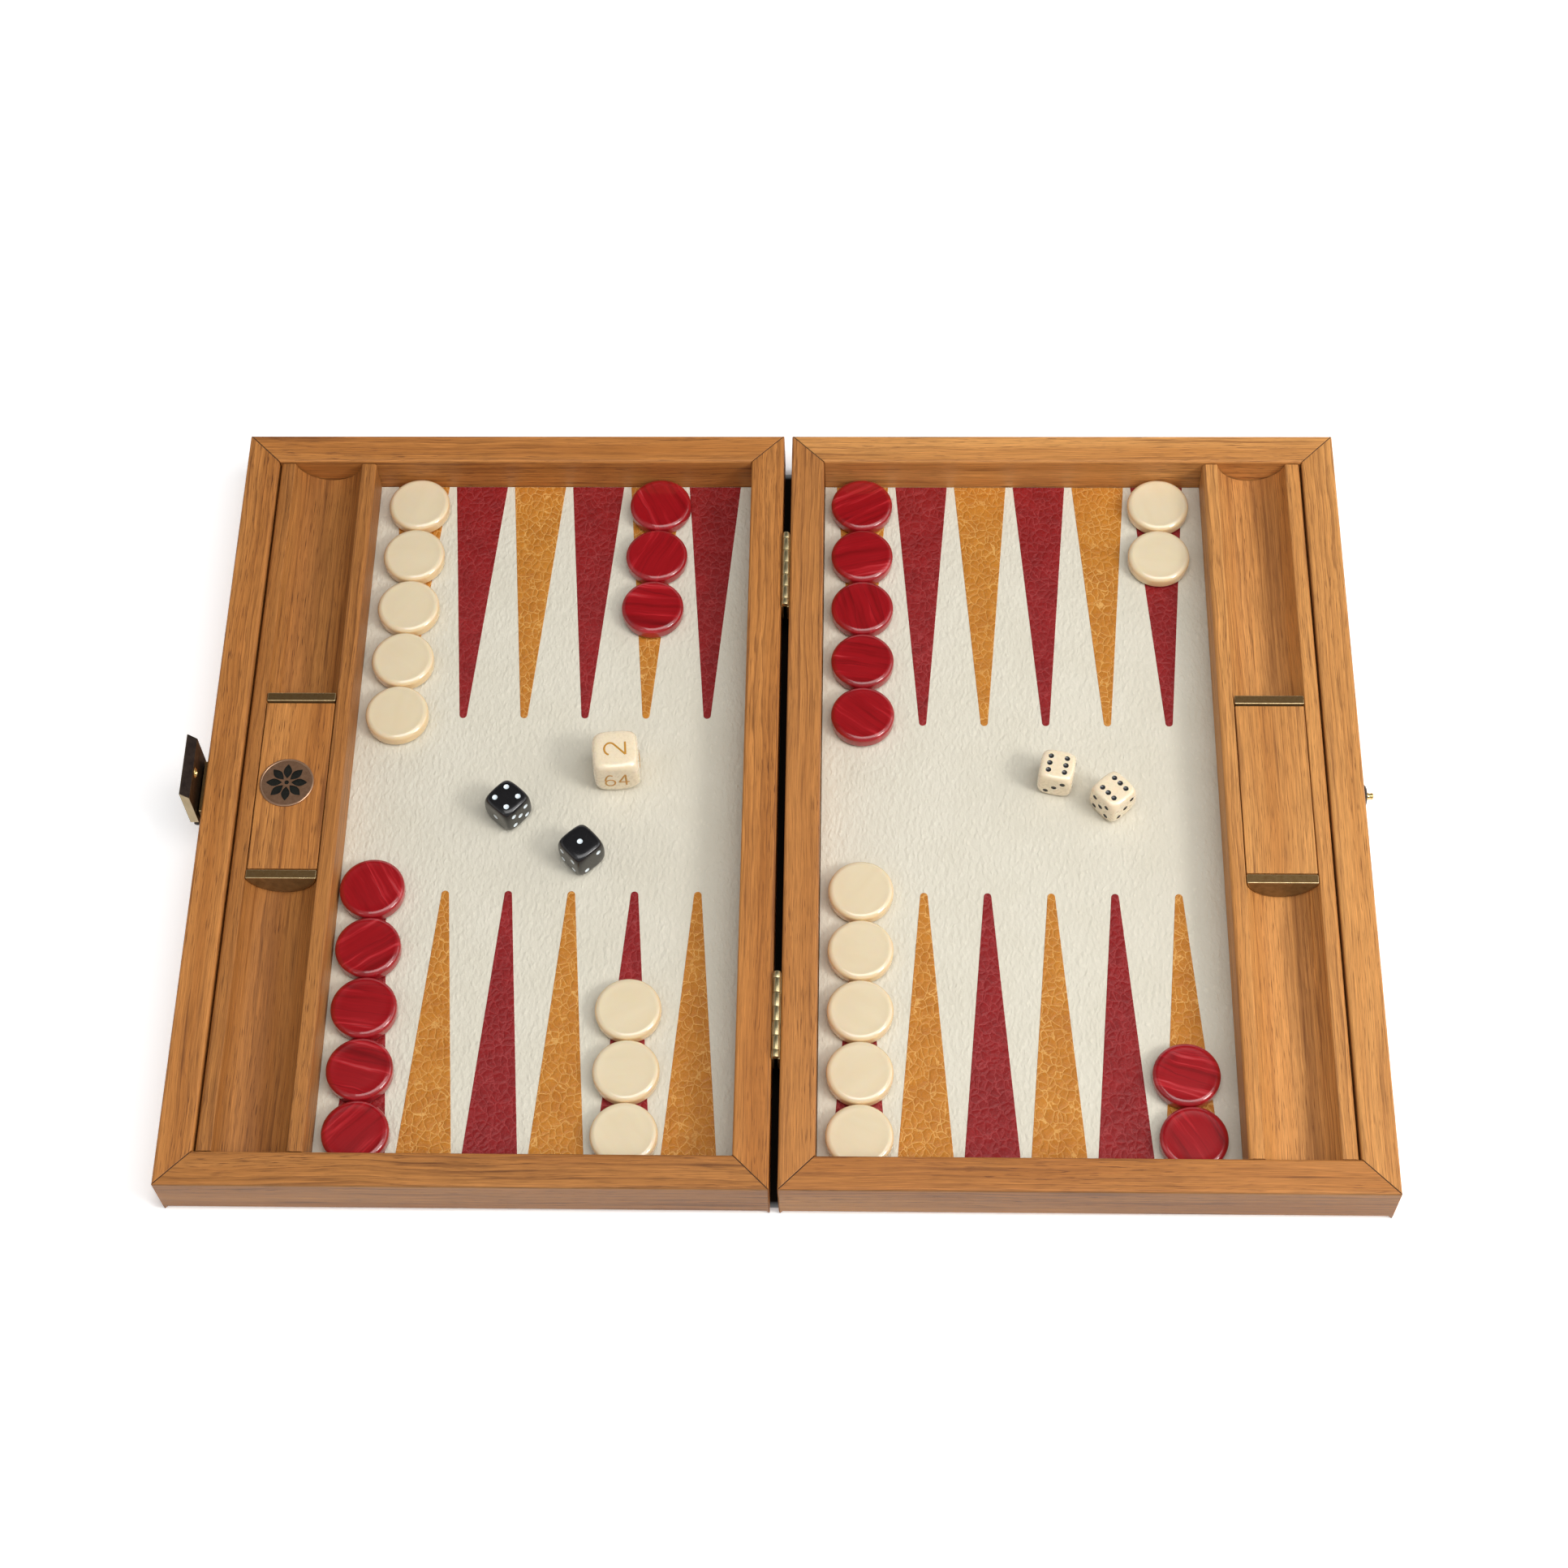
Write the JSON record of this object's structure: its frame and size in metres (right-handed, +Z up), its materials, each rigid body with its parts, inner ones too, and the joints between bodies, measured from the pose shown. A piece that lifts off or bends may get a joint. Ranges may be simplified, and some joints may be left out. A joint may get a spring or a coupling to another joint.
{
  "type": "backgammon set",
  "caption": "Folding wooden travel backgammon board laid out open, with inlaid playing surface, lidded checker racks, latch, checkers, dice and doubling cube.",
  "frame": {"origin": "on the table, midway across the open box, under its middle", "axes": "+X across the open box towards the half that swings, +Y towards the far player, +Z up"},
  "size_m": [0.4129, 0.3, 0.0346],
  "materials": {
    "honey_wood": "satin",
    "cream_leatherette": "fine-grained matt",
    "antique_brass": "patinated",
    "bright_brass": "satin",
    "ivory_resin": "gloss",
    "crimson_resin": "pearlescent gloss",
    "black_resin": "gloss"
  },
  "bodies": {
    "left_half": {"left_front_rail": "honey_wood", "left_back_rail": "honey_wood", "left_outer_rail": "honey_wood", "left_hinge_rail": "honey_wood", "left_panel": "cream_leatherette", "left_rack": "honey_wood", "left_front_plate": "antique_brass", "left_back_plate": "antique_brass", "left_front_hinge_leaf": "bright_brass", "left_back_hinge_leaf": "bright_brass", "latch_bracket": "antique_brass"},
    "right_half": {"right_front_rail": "honey_wood", "right_back_rail": "honey_wood", "right_outer_rail": "honey_wood", "right_hinge_rail": "honey_wood", "right_panel": "cream_leatherette", "right_rack": "honey_wood", "right_front_plate": "antique_brass", "right_back_plate": "antique_brass", "right_front_hinge_leaf": "bright_brass", "right_back_hinge_leaf": "bright_brass", "latch_stud": "bright_brass"},
    "latch_flap": {"latch_flap": "antique_brass"},
    "left_rack_lid": {"left_rack_lid": "honey_wood"},
    "right_rack_lid": {"right_rack_lid": "honey_wood"},
    "ivory_checker_01": {"ivory_checker_01": "ivory_resin"},
    "ivory_checker_02": {"ivory_checker_02": "ivory_resin"},
    "ivory_checker_03": {"ivory_checker_03": "ivory_resin"},
    "ivory_checker_04": {"ivory_checker_04": "ivory_resin"},
    "ivory_checker_05": {"ivory_checker_05": "ivory_resin"},
    "crimson_checker_01": {"crimson_checker_01": "crimson_resin"},
    "crimson_checker_02": {"crimson_checker_02": "crimson_resin"},
    "crimson_checker_03": {"crimson_checker_03": "crimson_resin"},
    "crimson_checker_04": {"crimson_checker_04": "crimson_resin"},
    "crimson_checker_05": {"crimson_checker_05": "crimson_resin"},
    "crimson_checker_06": {"crimson_checker_06": "crimson_resin"},
    "crimson_checker_07": {"crimson_checker_07": "crimson_resin"},
    "crimson_checker_08": {"crimson_checker_08": "crimson_resin"},
    "ivory_checker_06": {"ivory_checker_06": "ivory_resin"},
    "ivory_checker_07": {"ivory_checker_07": "ivory_resin"},
    "ivory_checker_08": {"ivory_checker_08": "ivory_resin"},
    "crimson_checker_09": {"crimson_checker_09": "crimson_resin"},
    "crimson_checker_10": {"crimson_checker_10": "crimson_resin"},
    "crimson_checker_11": {"crimson_checker_11": "crimson_resin"},
    "crimson_checker_12": {"crimson_checker_12": "crimson_resin"},
    "crimson_checker_13": {"crimson_checker_13": "crimson_resin"},
    "ivory_checker_09": {"ivory_checker_09": "ivory_resin"},
    "ivory_checker_10": {"ivory_checker_10": "ivory_resin"},
    "ivory_checker_11": {"ivory_checker_11": "ivory_resin"},
    "ivory_checker_12": {"ivory_checker_12": "ivory_resin"},
    "ivory_checker_13": {"ivory_checker_13": "ivory_resin"},
    "ivory_checker_14": {"ivory_checker_14": "ivory_resin"},
    "ivory_checker_15": {"ivory_checker_15": "ivory_resin"},
    "crimson_checker_14": {"crimson_checker_14": "crimson_resin"},
    "crimson_checker_15": {"crimson_checker_15": "crimson_resin"},
    "ivory_die_1": {"ivory_die_1": "ivory_resin"},
    "ivory_die_2": {"ivory_die_2": "ivory_resin"},
    "black_die_1": {"black_die_1": "black_resin"},
    "black_die_2": {"black_die_2": "black_resin"},
    "doubling_cube": {"doubling_cube": "ivory_resin"}
  },
  "joints": [
    {"name": "fold", "type": "hinge", "parent": "left_half", "child": "right_half", "pos_m": [0, 0, 0.0217], "axis": [0, 1, 0], "range_deg": [-180, 0]},
    {"name": "latch_turn", "type": "hinge", "parent": "left_half", "child": "latch_flap", "pos_m": [-0.2049, 0, 0.013], "axis": [0, -1, 0], "range_deg": [0, 95]},
    {"name": "left_rack_lid_lift", "type": "slide", "parent": "left_half", "child": "left_rack_lid", "axis": [0, 0, 1], "range_m": [0, 0.03]},
    {"name": "right_rack_lid_lift", "type": "slide", "parent": "right_half", "child": "right_rack_lid", "axis": [0, 0, 1], "range_m": [0, 0.03]},
    {"name": "ivory_checker_01_lift", "type": "slide", "parent": "left_half", "child": "ivory_checker_01", "axis": [0, 0, 1], "range_m": [0, 0.04]},
    {"name": "ivory_checker_02_lift", "type": "slide", "parent": "left_half", "child": "ivory_checker_02", "axis": [0, 0, 1], "range_m": [0, 0.04]},
    {"name": "ivory_checker_03_lift", "type": "slide", "parent": "left_half", "child": "ivory_checker_03", "axis": [0, 0, 1], "range_m": [0, 0.04]},
    {"name": "ivory_checker_04_lift", "type": "slide", "parent": "left_half", "child": "ivory_checker_04", "axis": [0, 0, 1], "range_m": [0, 0.04]},
    {"name": "ivory_checker_05_lift", "type": "slide", "parent": "left_half", "child": "ivory_checker_05", "axis": [0, 0, 1], "range_m": [0, 0.04]},
    {"name": "crimson_checker_01_lift", "type": "slide", "parent": "left_half", "child": "crimson_checker_01", "axis": [0, 0, 1], "range_m": [0, 0.04]},
    {"name": "crimson_checker_02_lift", "type": "slide", "parent": "left_half", "child": "crimson_checker_02", "axis": [0, 0, 1], "range_m": [0, 0.04]},
    {"name": "crimson_checker_03_lift", "type": "slide", "parent": "left_half", "child": "crimson_checker_03", "axis": [0, 0, 1], "range_m": [0, 0.04]},
    {"name": "crimson_checker_04_lift", "type": "slide", "parent": "left_half", "child": "crimson_checker_04", "axis": [0, 0, 1], "range_m": [0, 0.04]},
    {"name": "crimson_checker_05_lift", "type": "slide", "parent": "left_half", "child": "crimson_checker_05", "axis": [0, 0, 1], "range_m": [0, 0.04]},
    {"name": "crimson_checker_06_lift", "type": "slide", "parent": "left_half", "child": "crimson_checker_06", "axis": [0, 0, 1], "range_m": [0, 0.04]},
    {"name": "crimson_checker_07_lift", "type": "slide", "parent": "left_half", "child": "crimson_checker_07", "axis": [0, 0, 1], "range_m": [0, 0.04]},
    {"name": "crimson_checker_08_lift", "type": "slide", "parent": "left_half", "child": "crimson_checker_08", "axis": [0, 0, 1], "range_m": [0, 0.04]},
    {"name": "ivory_checker_06_lift", "type": "slide", "parent": "left_half", "child": "ivory_checker_06", "axis": [0, 0, 1], "range_m": [0, 0.04]},
    {"name": "ivory_checker_07_lift", "type": "slide", "parent": "left_half", "child": "ivory_checker_07", "axis": [0, 0, 1], "range_m": [0, 0.04]},
    {"name": "ivory_checker_08_lift", "type": "slide", "parent": "left_half", "child": "ivory_checker_08", "axis": [0, 0, 1], "range_m": [0, 0.04]},
    {"name": "crimson_checker_09_lift", "type": "slide", "parent": "right_half", "child": "crimson_checker_09", "axis": [0, 0, 1], "range_m": [0, 0.04]},
    {"name": "crimson_checker_10_lift", "type": "slide", "parent": "right_half", "child": "crimson_checker_10", "axis": [0, 0, 1], "range_m": [0, 0.04]},
    {"name": "crimson_checker_11_lift", "type": "slide", "parent": "right_half", "child": "crimson_checker_11", "axis": [0, 0, 1], "range_m": [0, 0.04]},
    {"name": "crimson_checker_12_lift", "type": "slide", "parent": "right_half", "child": "crimson_checker_12", "axis": [0, 0, 1], "range_m": [0, 0.04]},
    {"name": "crimson_checker_13_lift", "type": "slide", "parent": "right_half", "child": "crimson_checker_13", "axis": [0, 0, 1], "range_m": [0, 0.04]},
    {"name": "ivory_checker_09_lift", "type": "slide", "parent": "right_half", "child": "ivory_checker_09", "axis": [0, 0, 1], "range_m": [0, 0.04]},
    {"name": "ivory_checker_10_lift", "type": "slide", "parent": "right_half", "child": "ivory_checker_10", "axis": [0, 0, 1], "range_m": [0, 0.04]},
    {"name": "ivory_checker_11_lift", "type": "slide", "parent": "right_half", "child": "ivory_checker_11", "axis": [0, 0, 1], "range_m": [0, 0.04]},
    {"name": "ivory_checker_12_lift", "type": "slide", "parent": "right_half", "child": "ivory_checker_12", "axis": [0, 0, 1], "range_m": [0, 0.04]},
    {"name": "ivory_checker_13_lift", "type": "slide", "parent": "right_half", "child": "ivory_checker_13", "axis": [0, 0, 1], "range_m": [0, 0.04]},
    {"name": "ivory_checker_14_lift", "type": "slide", "parent": "right_half", "child": "ivory_checker_14", "axis": [0, 0, 1], "range_m": [0, 0.04]},
    {"name": "ivory_checker_15_lift", "type": "slide", "parent": "right_half", "child": "ivory_checker_15", "axis": [0, 0, 1], "range_m": [0, 0.04]},
    {"name": "crimson_checker_14_lift", "type": "slide", "parent": "right_half", "child": "crimson_checker_14", "axis": [0, 0, 1], "range_m": [0, 0.04]},
    {"name": "crimson_checker_15_lift", "type": "slide", "parent": "right_half", "child": "crimson_checker_15", "axis": [0, 0, 1], "range_m": [0, 0.04]},
    {"name": "ivory_die_1_lift", "type": "slide", "parent": "right_half", "child": "ivory_die_1", "axis": [0, 0, 1], "range_m": [0, 0.04]},
    {"name": "ivory_die_2_lift", "type": "slide", "parent": "right_half", "child": "ivory_die_2", "axis": [0, 0, 1], "range_m": [0, 0.04]},
    {"name": "black_die_1_lift", "type": "slide", "parent": "left_half", "child": "black_die_1", "axis": [0, 0, 1], "range_m": [0, 0.04]},
    {"name": "black_die_2_lift", "type": "slide", "parent": "left_half", "child": "black_die_2", "axis": [0, 0, 1], "range_m": [0, 0.04]},
    {"name": "doubling_cube_lift", "type": "slide", "parent": "left_half", "child": "doubling_cube", "axis": [0, 0, 1], "range_m": [0, 0.04]}
  ]
}
